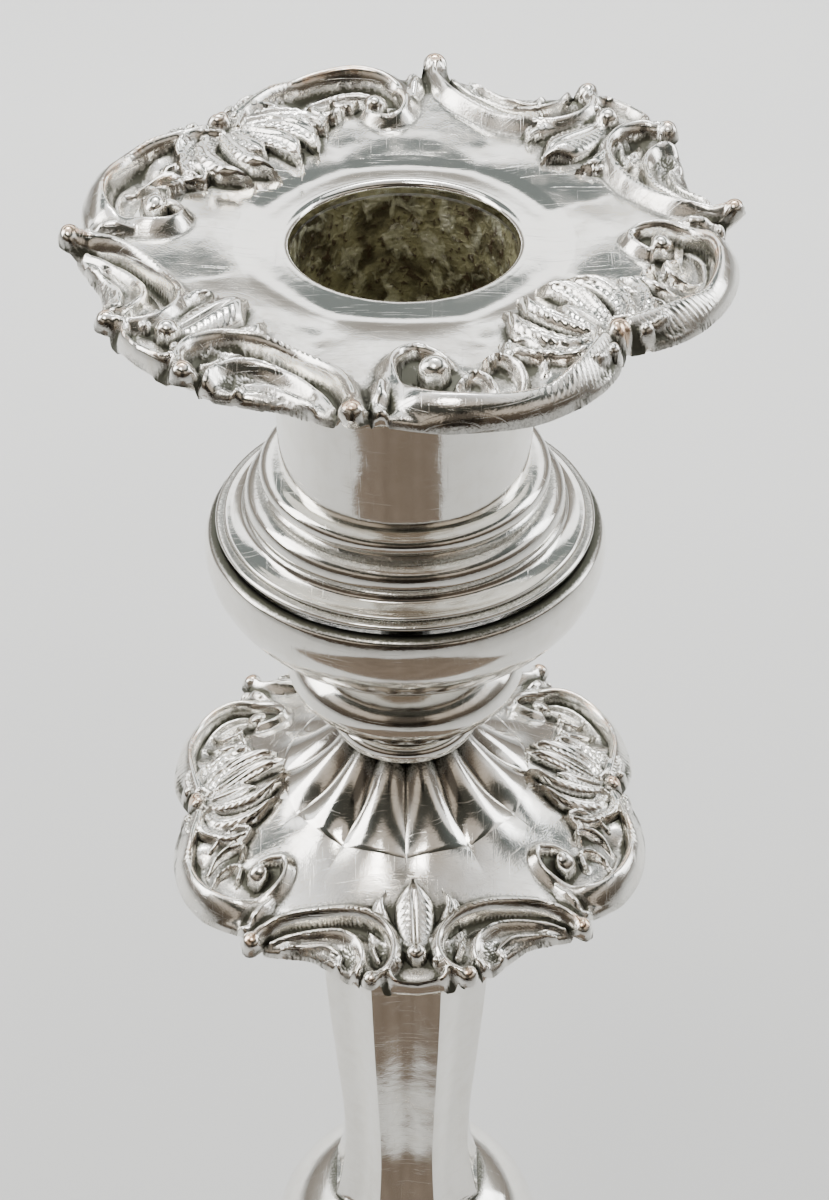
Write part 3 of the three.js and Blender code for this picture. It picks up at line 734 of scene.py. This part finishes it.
def socket():
    foot, head = bottom("socket_tube") - SEAT + 0.02, top("socket_tube")
    r_foot = 13.25
    outer = smooth_line([(r_foot, foot), (r_foot + 0.02, foot + 4), (r_foot + 0.2, foot + 13),
                         (r_foot + 0.5, head - 3), (r_foot + 0.72, head - 0.3)], 10)  # fmt: skip
    inner = [(r_foot - 0.2, head), (r_foot - 0.9, foot + 3), (r_foot - 0.9, foot)]
    turned("socket_wall", np.vstack([outer, inner]), "stand", ["socket_tube"], SILVER, 200,
           dents=0.035)  # fmt: skip


def groove(*levels):
    """Marks the line's points near the given levels as recessed."""

    def recess(radius, height):
        near_one = np.zeros(len(height))
        for level, reach, depth in levels:
            near_one = np.maximum(near_one, depth * np.exp(-(((height - level) / reach) ** 2)))
        return near_one

    return recess


def bulb():
    head, seam = top("bulb_upper_shell"), bottom("bulb_upper_shell")
    r = half_width("bulb_upper_shell")
    line = np.vstack([
        [(ROD_HOLE, head), (r - 7.1, head)],
        arc((r - 6.6, head - 1.35), (1.75, 1.35), 88, -50, 18),
        smooth_line([(r - 5.1, head - 2.75), (r - 4.3, head - 2.95), (r - 3.5, head - 3.6),
                     (r - 3.15, head - 4.6), (r - 3.3, head - 5.4)], 8),
        smooth_line([(r - 3.1, head - 5.55), (r - 2.75, head - 6.1), (r - 1.9, head - 6.55),
                     (r - 1.35, head - 6.65)], 7),
        arc((r - 1.35, head - 6.95), (0.42, 0.3), 80, -60, 9),
        arc((r - 0.75, head - 7.5), (0.75, 0.42), 95, -70, 14),
        [(r - 0.8, seam), (r - 2.3, seam), (r - 4, head - 5.6), (r - 5.8, head - 3.3), (r - 7, head - 1),
         (ROD_HOLE, head - 1)],
    ])  # fmt: skip
    grooves = groove(
        (head - 2.8, 0.22, 0.5), (head - 5.5, 0.25, 0.35), (head - 7.1, 0.12, 0.5), (seam, 0.35, 1.0)
    )  # fmt: skip
    turned("bulb_mouldings", line, "stand", ["bulb_upper_shell"], SILVER, 240,
           recess=grooves, dents=0.02)  # fmt: skip

    head, foot = top("bulb_lower_shell"), bottom("bulb_lower_shell")
    r = half_width("bulb_lower_shell")
    middle = head - 2.6
    half = (middle - foot) / math.sqrt(1 - (9 / r) ** 2)
    end = -math.degrees(math.acos(9 / r))
    line = np.vstack([
        [(r - 2.0, head - 0.25), (r - 1.5, head)],
        arc((r - 1.35, head - 1.0), (1.1, 1.0), 92, 25, 8),
        arc((0, middle), (r, half), 3.5, end, 60),
        [(ROD_HOLE, foot), (ROD_HOLE, foot + 1)],
        arc((0, middle), (r - 1.2, half - 1.2), end + 4, 0, 16),
    ])  # fmt: skip
    grooves = groove((head, 0.3, 1.0), (foot, 0.5, 0.5))
    turned("bulb_bowl", line, "stand", ["bulb_lower_shell"], SILVER, 240,
           recess=grooves, dents=0.04)  # fmt: skip


def upper_knop():
    head, foot = top("upper_knop"), bottom("upper_knop")
    r = half_width("upper_knop")
    neck = 7.4
    end = math.degrees(math.acos(neck / r))
    half = 5.8
    middle = head - half * math.sin(math.radians(end))
    line = np.vstack([
        [(ROD_HOLE, foot), (neck - 0.6, foot)],
        arc((neck - 0.3, foot + 1.25), (1.15, 1.2), -75, 75, 16),
        smooth_line([(neck - 0.1, foot + 2.6), (neck - 0.35, foot + 3.3), (neck - 0.1, foot + 4.1)], 6),
        arc((0, middle), (r, half), -end, end, 48),
        [(ROD_HOLE, head)],
    ])  # fmt: skip
    grooves = groove((foot + 3.3, 0.6, 0.6), (foot, 0.4, 0.8), (head, 0.35, 0.6))
    turned("knop_under_bulb", line, "stand", ["upper_knop"], SILVER, 200,
           recess=grooves, dents=0.02)  # fmt: skip


# ---- The shoulder and the stem ----


def shoulder_ground(angle, radius):
    """The shoulder's surface: a steep neck, twelve lobes with creases between, then a shallow slope."""
    rim, head = SHOULDER["rim"], SHOULDER["top"]
    left = np.clip((SHOULDER["radius"] - radius) / (SHOULDER["radius"] - SHOULDER["neck"]), -0.35, 1)
    curve = 0.88 * np.sign(left) * np.abs(left) ** 1.6 + 0.12 * np.clip(left, 0, 1) ** 7
    height = rim + (head - rim) * curve
    fade = step(18.5, 8.4, radius)
    crease = 1 - np.abs(np.sin(6 * angle)) ** 0.9
    return height - 1.7 * crease * fade + 0.3 * fade


def base_ground(angle, radius):
    """The foot's surface, with its own twelve lobes."""
    share = np.clip((radius - BASE["neck"]) / (BASE["radius"] - BASE["neck"]), 0, 1)
    height = BASE["rim"] + (BASE["top"] - BASE["rim"]) * (1 - share) ** 3.1
    fade = step(34, 14, radius) * step(8.6, 11.5, radius)
    crease = 1 - np.abs(np.sin(6 * angle)) ** 0.9
    return height - 2.8 * crease * fade + 0.4 * fade


SHOULDER = {
    "rim": bottom("shoulder_flare") + 1, "top": top("shoulder_flare"),
    "neck": 6.9, "radius": half_width("shoulder_flare"),
}  # fmt: skip
BASE = {
    "rim": bottom("base_dome") + 1, "top": top("base_dome"),
    "neck": 8.4, "radius": half_width("base_dome"),
}  # fmt: skip


def flare(name, node, ground, part, covered, step_in, sink, around):
    """A lobed flare: its top runs from the neck to under the border, sinking past covered, its inner edge."""
    out = np.concatenate([
        np.linspace(part["neck"], covered, 64),
        np.linspace(covered + step_in, part["radius"] - 0.2, 12),
    ])  # fmt: skip
    under = np.linspace(part["radius"] - 0.2, part["neck"] + 1, 24)
    line = np.vstack([
        [(ROD_HOLE, part["top"] - 1), (ROD_HOLE, part["top"])],
        np.column_stack([out, np.zeros_like(out)]),
        np.column_stack([under, np.ones_like(under)]),
    ])  # fmt: skip
    on_top = slice(2, 2 + len(out))
    below = slice(2 + len(out), len(line))

    def shape(angle, radius, height):
        height = height + 0 * angle
        level = ground(angle, radius + 0 * angle)
        sunk = sink * step(covered + 1.5 * step_in, covered + 4 * step_in, radius)
        height[:, on_top] = (level - sunk)[:, on_top]
        height[:, below] = (level - sunk - 0.6)[:, below]
        return radius, height

    piece = turned(name, line, "stand", [node], SILVER, around, shape)
    recess_marks(piece, part)


def recess_marks(piece, part):
    """Marks the creases between the lobes, and the neck, for the tarnish."""
    mesh = piece.data
    co = np.empty(len(mesh.vertices) * 3)
    mesh.vertices.foreach_get("co", co)
    x, y, _ = co.reshape(-1, 3).T / MM
    angle, radius = np.arctan2(y, x), np.hypot(x, y)
    crease = np.exp(-((np.sin(6 * angle) / 0.16) ** 2)) * step(2.0, 1.1, radius / part["neck"])
    neck = step(1.25, 1.0, radius / part["neck"])
    layer = mesh.attributes.new("recess", "FLOAT", "POINT")
    layer.data.foreach_set("value", np.maximum(0.6 * crease, 0.8 * neck).astype(np.float32))


def shoulder_underplate():
    foot, head = bottom("shoulder_underplate"), top("shoulder_underplate")
    r = half_width("shoulder_underplate")
    line = np.vstack([
        smooth_line([(12, foot), (14.5, foot + 0.15), (18, foot + 1.1), (r - 0.6, head - 1.3),
                     (r, head - 0.6)], 8),
        [(r - 0.3, head - 0.1), (13.5, foot + 1), (ROD_HOLE, foot + 1), (ROD_HOLE, foot)],
    ])  # fmt: skip
    turned("shoulder_underside", line, "stand", ["shoulder_underplate"], SILVER_UNDER, 120)


def stem():
    foot, head = bottom("stem_column"), top("stem_column")
    half = math.pi / 8
    outer = smooth_line([(10.3, foot), (9.9, foot + 1.2), (9.25, foot + 4.5), (8.75, foot + 9),
                         (8.62, foot + 13), (8.95, foot + 20), (9.7, foot + 29), (10.4, foot + 38),
                         (11.3, head - 11), (12.2, head - 4), (13.1, head)], 9)  # fmt: skip
    inner = [(10, head), (6.3, foot + 13), (7, foot)]

    def shape(angle, radius, height):
        local = (angle - half) % (2 * half) - half
        flat = math.cos(half) / np.cos(local)
        hollow = 0.045 * np.cos(math.pi * local / (2 * half)) ** 2
        inside = height > foot + 0.5
        return radius * (flat - hollow * inside), height + 0 * angle

    line = np.vstack([outer, inner])
    piece = turned("stem_panels", line, "stand", ["stem_column"], SILVER, 256, shape,
                   recess=groove((foot, 0.5, 0.9), (head, 1.2, 0.6)), dents=0.02)  # fmt: skip
    piece.data.set_sharp_from_angle(angle=math.radians(14))


def lower_knop():
    upper, lower = "lower_knop_upper_shell", "lower_knop_lower_shell"
    r = half_width(upper)
    for name, node, level, end_radius, reach in (
        ("knop_upper_half", upper, bottom(upper), 10, top(upper) - bottom(upper)),
        ("knop_lower_half", lower, top(lower), 8.6, bottom(lower) - top(lower)),
    ):
        half = abs(reach) / math.sqrt(1 - (end_radius / r) ** 2)
        end = math.degrees(math.acos(end_radius / r))
        side = math.copysign(1, reach)
        line = np.vstack([
            arc((0, 0), (r, half), 0.6, end, 44),
            [(ROD_HOLE, abs(reach)), (ROD_HOLE, abs(reach) - 1)],
            arc((0, 0), (r - 1.1, half - 1.1), end - 4, 0, 14),
        ])  # fmt: skip
        line = line * [1, side] + [0, level]
        grooves = groove((level, 0.2, 0.9), (level + reach, 0.4, 0.8))
        turned(name, line, "stand", [node], SILVER, 200, recess=grooves, dents=0.03)


def collar():
    foot, head = bottom("base_collar"), top("base_collar")
    r = half_width("base_collar")
    middle = (foot + head) / 2
    line = np.vstack([
        [(ROD_HOLE, foot), (r - 1.6, foot)],
        arc((r - 0.9, foot + 0.75), (0.7, 0.7), -80, 70, 8),
        arc((r - 1.2, middle + 0.35), (1.2, 1.15), -60, 60, 14),
        arc((r - 1.2, head - 0.5), (0.6, 0.5), -60, 85, 8),
        [(r - 1.8, head), (ROD_HOLE, head)],
    ])  # fmt: skip
    grooves = groove((foot, 0.3, 0.9), (foot + 1.3, 0.15, 0.8), (head - 0.9, 0.15, 0.8), (head, 0.2, 0.7))
    turned("collar_ring", line, "stand", ["base_collar"], SILVER, 160, recess=grooves)


# ---- The foot ----


def foot_outline(angle, tip):
    """The foot border's outline as radius by angle, at a tip radius."""
    local = np.degrees(angle) - BASE_TURN
    return edge_radius(np.abs((local + 90) % 180 - 90)) * tip / DRAWN_TIP


def foot_band():
    foot, head = bottom("base_foot_ring"), top("base_foot_ring")
    line = np.vstack([
        smooth_line([(-2.9, foot), (-2.5, foot + 0.5), (-2.55, foot + 1.4), (-3.1, foot + 2.1),
                     (-3.4, foot + 3.6), (-3.0, head - 0.6), (-2.6, head)], 7),
        [(-3.9, head), (-4.2, foot + 3), (-3.9, foot)],
    ])  # fmt: skip

    def shape(angle, radius, height):
        return foot_outline(angle + 0 * radius, BASE_TIP) + radius, height + 0 * angle

    turned("foot_moulding", line, "stand", ["base_foot_ring"], SILVER_RELIEF, 480, shape,
           recess=groove((foot + 2.4, 0.5, 0.45), (foot, 0.3, 0.8)))  # fmt: skip


def baize_cloth():
    foot, head = bottom("baize_pad"), top("baize_pad")
    share = np.concatenate([np.linspace(0.002, 0.9, 18), np.linspace(0.93, 0.99, 6)])
    line = np.vstack([
        np.column_stack([share[::-1], np.full(24, head)]),
        np.column_stack([share, np.full(24, foot)]),
        [(0.9975, foot + 0.2), (1.0, (foot + head) / 2), (0.9975, head - 0.2)],
    ])  # fmt: skip

    def shape(angle, radius, height):
        out = foot_outline(angle + 0 * radius, BASE_TIP - 4.6) * radius
        nap = ripple(out * np.cos(angle), out * np.sin(angle), 0, 5, 21)
        raised = (height < foot + 0.05) * 0.05 * (1 + nap) * step(0.0, 0.3, 1 - radius)
        return out + 0.12 * nap * (radius > 0.99), height + raised

    turned("baize_cloth", line, "stand", ["baize_pad"], BAIZE, 480, shape)


nozzle_pan()
border("nozzle_scrollwork", "nozzle_border", DRAWN_TIP, NOZZLE_TURN, pan_ground, 1.0, 1.6, "nozzle", 0.04)
nozzle_cup()
socket()
bulb()
upper_knop()
covered = DRAWN_INNER * SHOULDER_TIP / DRAWN_TIP
flare("shoulder_lobes", "shoulder_flare", shoulder_ground, SHOULDER, covered, 0.5, 1.3, 360)
border(
    "shoulder_scrollwork", "shoulder_border", SHOULDER_TIP, SHOULDER_TURN, shoulder_ground, 0.85, 1.3, "stand"
)
shoulder_underplate()
stem()
lower_knop()
collar()
covered = DRAWN_INNER * BASE_TIP / DRAWN_TIP
flare("foot_lobes", "base_dome", base_ground, BASE, covered, 1.0, 2.8, 480)
border("foot_scrollwork", "base_border", BASE_TIP, BASE_TURN, base_ground, 1.6, 2.6, "stand")
foot_band()
baize_cloth()

for node, material in {
    "socket_floor": SILVER_UNDER, "tie_rod": STEEL, "top_washer": STEEL, "top_nut": STEEL,
    "bottom_washer": STEEL, "bottom_nut": STEEL, "base_plate": STEEL, "base_weight": PLASTER,
}.items():  # fmt: skip
    for material_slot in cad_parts[node].material_slots:
        material_slot.material = material


# ---- Floor, light and camera ----


def flat_stage(name, low, high, level, material):
    """A level rectangle between two corners, in metres, that isn't part of the object."""
    mesh = bpy.data.meshes.new(name)
    corners = [(*low, level), (high[0], low[1], level), (*high, level), (low[0], high[1], level)]
    mesh.from_pydata(corners, [], [(0, 1, 2, 3)])
    mesh.materials.append(material)
    piece = bpy.data.objects.new(name, mesh)
    bpy.context.scene.collection.objects.link(piece)
    return piece


def mottled(name, scale, detail, dark, pale):
    """A dull material that drifts between two near colours."""
    s = Shader(name)
    s.set(colour=s.mix(s.ramp(s.noise(scale, detail), 0.3, 0.7), dark, pale), roughness=0.9)
    return s.material


def floor():
    pale = mottled("pale_floor", 0.004, 2.0, rgb(0.53, 0.535, 0.53), rgb(0.57, 0.575, 0.568))
    flat_stage("floor", (-40, -40), (40, 40), 0, pale)


def dark_card():
    """A dark card lying in front, out of the camera's sight, for the silver to reflect."""
    cloth = mottled("dark_cloth", 0.03, 3.0, rgb(0.10, 0.075, 0.055), rgb(0.16, 0.125, 0.095))
    card = flat_stage("dark_card", (-0.2, -0.6), (0.16, -0.08), 0.002, cloth)
    card.visible_camera = False
    card.visible_shadow = False
    card.visible_diffuse = False


def softbox(name, place, size, power, colour, aim=(0, 0, 0.17), spread=170):
    """A rectangular light that the camera doesn't see."""
    light = bpy.data.lights.new(name, "AREA")
    light.shape = "RECTANGLE"
    light.size, light.size_y = size
    light.energy = power
    light.color = colour
    light.spread = math.radians(spread)
    lamp = bpy.data.objects.new(name, light)
    lamp.location = place
    towards = Vector(aim) - lamp.location
    lamp.rotation_mode = "QUATERNION"
    lamp.rotation_quaternion = towards.to_track_quat("-Z", "Y")
    lamp.visible_camera = False
    bpy.context.scene.collection.objects.link(lamp)


# The studio's brightness by how high a direction points and by how far back, from -1 to 1 as 0 to 1.
# The dark band high up shows in the pan's far petals.
WORLD_RAMPS = {
    "Z": [(0.0, (0.115, 0.105, 0.095)), (0.5, (0.086, 0.075, 0.065)), (0.66, (0.18, 0.17, 0.155)),
          (0.70, (0.92, 0.925, 0.92)), (0.78, (0.95, 0.955, 0.95)), (0.795, (0.08, 0.09, 0.088)),
          (0.895, (0.08, 0.09, 0.088)), (0.91, (0.95, 0.955, 0.95)), (1.0, (0.6, 0.61, 0.63))],
    "Y": [(0.0, (0.17, 0.14, 0.11)), (0.3, (0.26, 0.23, 0.2)), (0.5, (0.5, 0.49, 0.48)),
          (0.72, (1.0, 1.0, 1.0)), (1.0, (1.0, 1.0, 1.0))],
}  # fmt: skip
SITTER = (0.05, -0.93, 0.36)  # towards whoever took the picture, dark and warm
WORLD_STRENGTH = 2.8


def surroundings():
    """A studio: dim and warm behind the camera, paler above and beyond the candlestick."""
    world = bpy.data.worlds.new("studio")
    bpy.context.scene.world = world
    world.use_nodes = True
    tree = world.node_tree
    direction = tree.nodes.new("ShaderNodeTexCoord").outputs["Generated"]

    def node(kind, inputs, operation=None):
        made = tree.nodes.new(kind)
        if operation:
            made.operation = operation
        for key, value in inputs.items():
            if isinstance(value, bpy.types.NodeSocket):
                tree.links.new(value, made.inputs[key])
            else:
                made.inputs[key].default_value = value
        return made

    parts = node("ShaderNodeSeparateXYZ", {0: direction})
    levels = []
    for axis, stops in WORLD_RAMPS.items():
        half = node("ShaderNodeMapRange", {"From Min": -1, "Value": parts.outputs[axis]})
        ramp = node("ShaderNodeValToRGB", {0: half.outputs[0]})
        elements = ramp.color_ramp.elements
        elements.remove(elements[-1])
        elements[0].color = (*stops[0][1], 1)
        for position, colour in stops[1:]:
            elements.new(position).color = (*colour, 1)
        levels.append(ramp.outputs["Color"])
    both = node("ShaderNodeVectorMath", {0: levels[0], 1: levels[1]}, "MULTIPLY")
    apart = node("ShaderNodeVectorMath", {0: direction, 1: SITTER}, "DISTANCE")
    shade = node("ShaderNodeMapRange", {
        "Value": apart.outputs["Value"], "From Min": 0.3, "From Max": 0.38, "To Min": 0.2, "To Max": 1.0,
    })  # fmt: skip
    dimmed = node("ShaderNodeVectorMath", {0: both.outputs[0], "Scale": shade.outputs[0]}, "SCALE")
    background = tree.nodes["Background"]
    tree.links.new(dimmed.outputs[0], background.inputs["Color"])
    background.inputs["Strength"].default_value = WORLD_STRENGTH


CAMERA_PITCH = 38.6  # degrees down


def camera():
    """Where the picture was taken from: close, looking down on the nozzle."""
    data = bpy.data.cameras.new("camera")
    data.lens = 72.9
    data.clip_start = 0.01
    eye = bpy.data.objects.new("camera", data)
    eye.location = (1.0 * MM, -208 * MM, (LIP + 120.7) * MM)
    eye.rotation_euler = (math.radians(90 - CAMERA_PITCH), 0, 0)
    bpy.context.scene.collection.objects.link(eye)
    bpy.context.scene.camera = eye


floor()
dark_card()
softbox("window_left", (-1.25, 0.1, 1.0), (0.6, 1.1), 12, (1.0, 0.98, 0.96))
softbox("window_right", (1.35, 0.5, 0.8), (0.45, 1.0), 6, (0.96, 0.98, 1.0))
softbox("back_wash", (0.0, 0.9, 1.75), (1.2, 0.5), 6, (1.0, 1.0, 1.0), (0, 0.5, 0), 40)
softbox("overhead", (-0.25, -0.55, 1.6), (0.45, 0.35), 5, (1.0, 0.97, 0.93))
surroundings()
camera()
